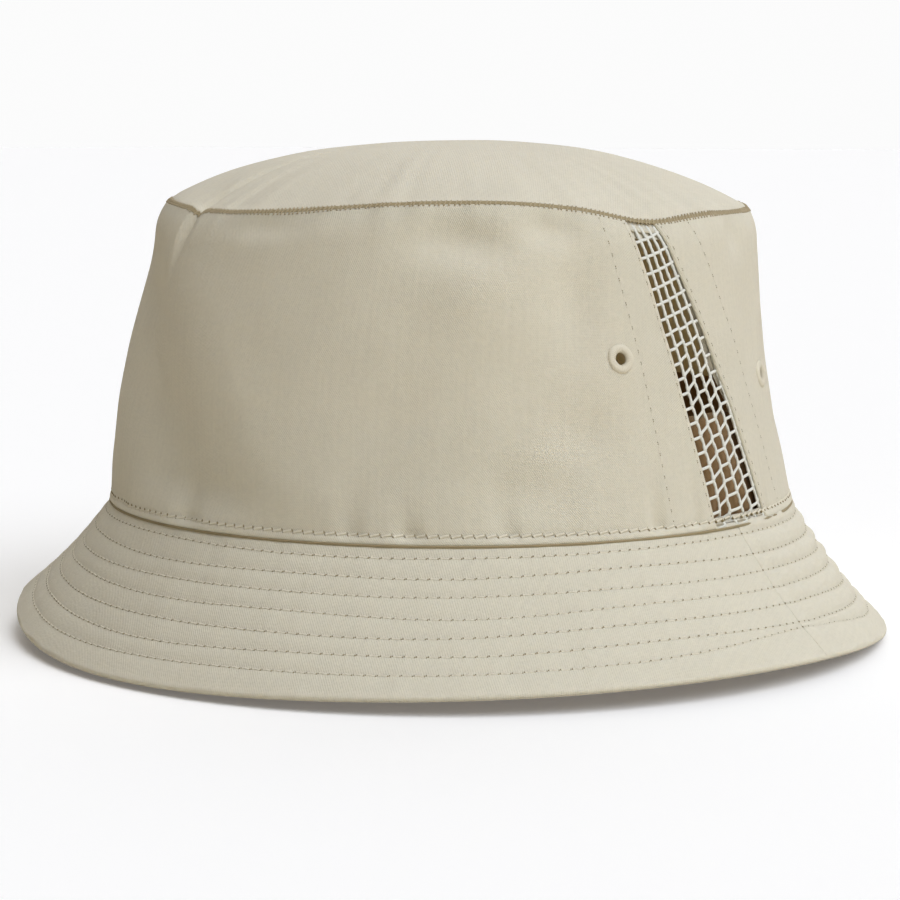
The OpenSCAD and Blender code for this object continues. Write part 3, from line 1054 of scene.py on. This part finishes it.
def make_eyelet(half, side, label, material):
    """A ring of satin stitch through the panel: a torus with a ridge for each wrap of thread."""
    (t, s), = eyelet_spots(half, (side,))
    p, n, du, dv = face_of(wall, np.array(t), np.array(s))
    a = np.linspace(0, 2 * PI, EYELET_WRAPS * 6, endpoint=False)[:, None]
    b = np.linspace(0, 2 * PI, 18, endpoint=False)[None, :]
    ridge = 1 + 0.07 * np.abs(np.sin(a * EYELET_WRAPS / 2)) + 0.03 * np.sin(5 * a + 1.0)
    out = EYELET_RING_R + EYELET_RING_HALF * np.cos(b) * ridge
    up = 0.80 * np.sin(b) * ridge - 0.25
    way = np.cos(a)[..., None] * du + np.sin(a)[..., None] * dv
    verts = p + way * out[..., None] + n * up[..., None]
    nu, nv = out.shape
    index = np.arange(nu * nv).reshape(nu, nv)
    ahead, above = np.roll(index, -1, 0), np.roll(index, -1, 1)
    quads = np.stack([index, ahead, np.roll(ahead, -1, 1), above], axis=-1).reshape(-1, 4)
    uv = stack(a / (2 * PI) * EYELET_WRAPS + 0 * b, b / (2 * PI) + 0 * a)
    name = f"eyelet_{half}_{label}"
    piece = new_piece(name + "_thread", verts.reshape(-1, 3), quads.tolist(), uv.reshape(-1, 2), material)
    settle(piece, "eyelet_thread", name)


# ---------------------------------------------------------------------------
# Inside of the crown
# ---------------------------------------------------------------------------
def make_ring(node, low, high, depth, thickness, material, slot):
    """A band round the inside of the wall, its edges rolled."""
    count = 420
    share, off, deep = folded(18, 0.4)
    h = low + (high - low) * share + off
    t = np.linspace(0, 2 * PI, count, endpoint=False)[:, None]
    s = (h / WALL_H)[None, :] + 0 * t
    t = t + 0 * s
    p = wall(t, s, depth + thickness - deep[None, :] + 0 * t)
    uv = stack(t * BASE_R, s * WALL_H)
    piece = cloth(node + "_cloth", p, -thickness, material, uv, closed=True)
    settle(piece, slot, node)


def make_inside(tape, band):
    low, high = (corner("tip_seam_tape", end)[2] - BASE_Z for end in (0, 1))
    make_ring("tip_seam_tape", low, high, 1.5, TAPE_T, tape, "inner_tape")
    make_ring("sweatband", BAND_LOW, BAND_H, BAND_DEPTH, BAND_T, band, "sweatband_twill")


def make_main_label(material):
    lo, hi = corner("main_label_patch", 0), corner("main_label_patch", 1)
    half = (hi[0] - lo[0]) / 2 / (BASE_R - 4)
    share_u, off_u, deep_u = folded(30, 0.25)
    share_v, off_v, deep_v = folded(16, 0.25)
    h = lo[2] - BASE_Z + (hi[2] - lo[2]) * share_v + off_v
    t = PI - half + 2 * half * share_u[:, None] + off_u[:, None] / BASE_R
    s = (h / WALL_H)[None, :] + 0 * t
    t = t + 0 * s
    p = wall(t, s, PATCH_DEPTH - deep_u[:, None] - deep_v[None, :])
    piece = cloth("main_label_cloth", p, -PATCH_T, material, stack(t * BASE_R, s * WALL_H))
    settle(piece, "label_weave", "main_label_patch")


def make_care_label(material):
    """A blank ribbon hung from its sewn edge, stepped out so that it clears the band when turned up."""
    joints = frame["record"]["behaviour"]["joints"]
    joint = next(j for j in joints if j["name"] == "care_label_swing")
    hinge = np.array(joint["pos_m"]) / MM
    along = unit(np.array(joint["axis"], float))
    inward = unit(np.array([-hinge[0], -hinge[1], 0.0]))
    size = corner("care_label_flap", 1) - corner("care_label_flap", 0)
    width, length = RIBBON_W, size[2] - 0.4
    a = np.linspace(-0.5, 0.5, 40)[:, None]
    b = np.linspace(0, 1, 44)[None, :]
    drop = length - 0.5
    step = RIBBON_STEP * (1 - np.exp(-b * drop / 0.7)) * np.exp(-(b * drop / 4.5) ** 2)
    inwards = 0.4 * np.sin(PI * b * 1.1) + 0.28 * np.cos(PI * a * 2) * b - step
    p = hinge + along * (a * width + 0 * b)[..., None] + inward * inwards[..., None]
    p = p - np.array([0, 0, 1.0]) * (b * drop + 0 * a)[..., None]
    uv = stack(a * width + 0 * b, -b * length + 0 * a)
    piece = cloth("care_label_ribbon", p[:, ::-1], RIBBON_T, material, uv[:, ::-1])
    settle(piece, "label_weave", "care_label_flap", body="care_label")


# ---------------------------------------------------------------------------
# The hat
# ---------------------------------------------------------------------------
make_camera()
make_studio()

stone = twill("stone_twill", STONE)
band = twill("band_twill", BAND_BROWN, pitch=0.6, reach=0.006)
tape = plain_weave("tape", STONE)
lining = plain_weave("interlining", (0.78, 0.75, 0.66))
label = plain_weave("label", (0.84, 0.82, 0.76))
# Stone thread with painted needle-hole shade at the ends of each stitch
seam_thread = thread("seam_thread", STONE, NEEDLE_HOLE_SHADE)
# Threads of the tip seam, coloured with the painted shade of its groove
groove_thread = thread("groove_thread", GROOVE_THREAD_SHADE, GROOVE_THREAD_SHADE)
# Painted shade for the dark rings in the tip seam's groove and under the hem
groove_shade = plain_weave("groove_shade", SEAM_SHADE)
net = knitted("net_yarn", NET)
satin = thread("satin_thread", STONE, STONE)

make_panels(stone)
make_tip(stone)
make_brim(stone, lining)
make_brim_stitching(seam_thread)
make_base_stitching(seam_thread)
make_base_painted_shade(groove_shade)
make_tip_stitching(groove_thread)
make_tip_painted_shade(groove_shade)
make_vent_stitching(seam_thread)
for side, label_name in ((1, "left"), (-1, "right")):
    make_net_strands(side, label_name, net)
    make_net_links(side, label_name, net)
    make_vent_tapes(side, label_name, tape)
    for half in ("front", "back"):
        make_eyelet(half, side, label_name, satin)
make_inside(tape, band)
make_main_label(label)
make_care_label(label)
